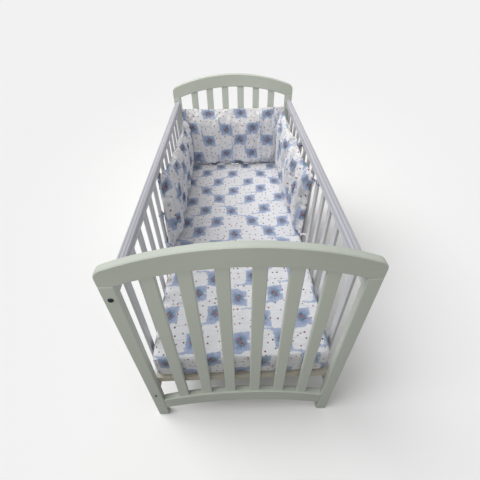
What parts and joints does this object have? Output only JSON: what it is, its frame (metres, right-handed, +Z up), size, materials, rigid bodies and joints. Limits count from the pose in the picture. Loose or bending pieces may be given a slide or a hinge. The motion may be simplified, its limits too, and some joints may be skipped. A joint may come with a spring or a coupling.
{
  "type": "crib bumper on a cot",
  "caption": "Padded printed crib bumper in three sections, tied round the head-end half of a slatted cot with arched end boards, standing on its mattress.",
  "frame": {"origin": "on the floor, under the middle of the cot", "axes": "+Z up, +Y along the cot towards the head board that the bumper stands against, +X across the cot towards its right side as seen from the foot end"},
  "size_m": [0.655, 1.2596, 0.9395],
  "materials": {
    "sage_paint": "satin sage green paint",
    "white_paint": "satin white paint",
    "white_moulding": "smooth, slightly glossy",
    "printed_cotton": "plain-weave cotton, off-white with a blue elephant and flower print",
    "white_tape": "plain white tape",
    "base_board": "pale paint, matt",
    "dark_metal": "dark, semi-gloss"
  },
  "bodies": {
    "root": {"bumper_head": "printed_cotton", "bumper_left": "printed_cotton", "bumper_right": "printed_cotton", "foot_bar_1": "sage_paint", "foot_bar_2": "sage_paint", "foot_bar_3": "sage_paint", "foot_bar_4": "sage_paint", "foot_bar_5": "sage_paint", "foot_bar_6": "sage_paint", "foot_bolt_low": "dark_metal", "foot_bolt_top": "dark_metal", "foot_bottom_rail": "sage_paint", "foot_leg_left": "sage_paint", "foot_leg_right": "sage_paint", "foot_top_rail": "sage_paint", "gate_left": "white_paint", "gate_right": "white_paint", "head_bar_1": "sage_paint", "head_bar_2": "sage_paint", "head_bar_3": "sage_paint", "head_bar_4": "sage_paint", "head_bar_5": "sage_paint", "head_bar_6": "sage_paint", "head_bolt_low": "dark_metal", "head_bolt_top": "dark_metal", "head_bottom_rail": "sage_paint", "head_leg_left": "sage_paint", "head_leg_right": "sage_paint", "head_top_rail": "sage_paint", "mattress": "printed_cotton", "mattress_base": "base_board", "rail_cap_left": "white_moulding", "rail_cap_right": "white_moulding", "tie_left_low_bow": "printed_cotton", "tie_left_middle": "printed_cotton", "tie_left_top": "printed_cotton", "tie_right_low_tape": "white_tape", "tie_right_middle": "printed_cotton", "tie_right_top": "printed_cotton"}
  },
  "joints": []
}
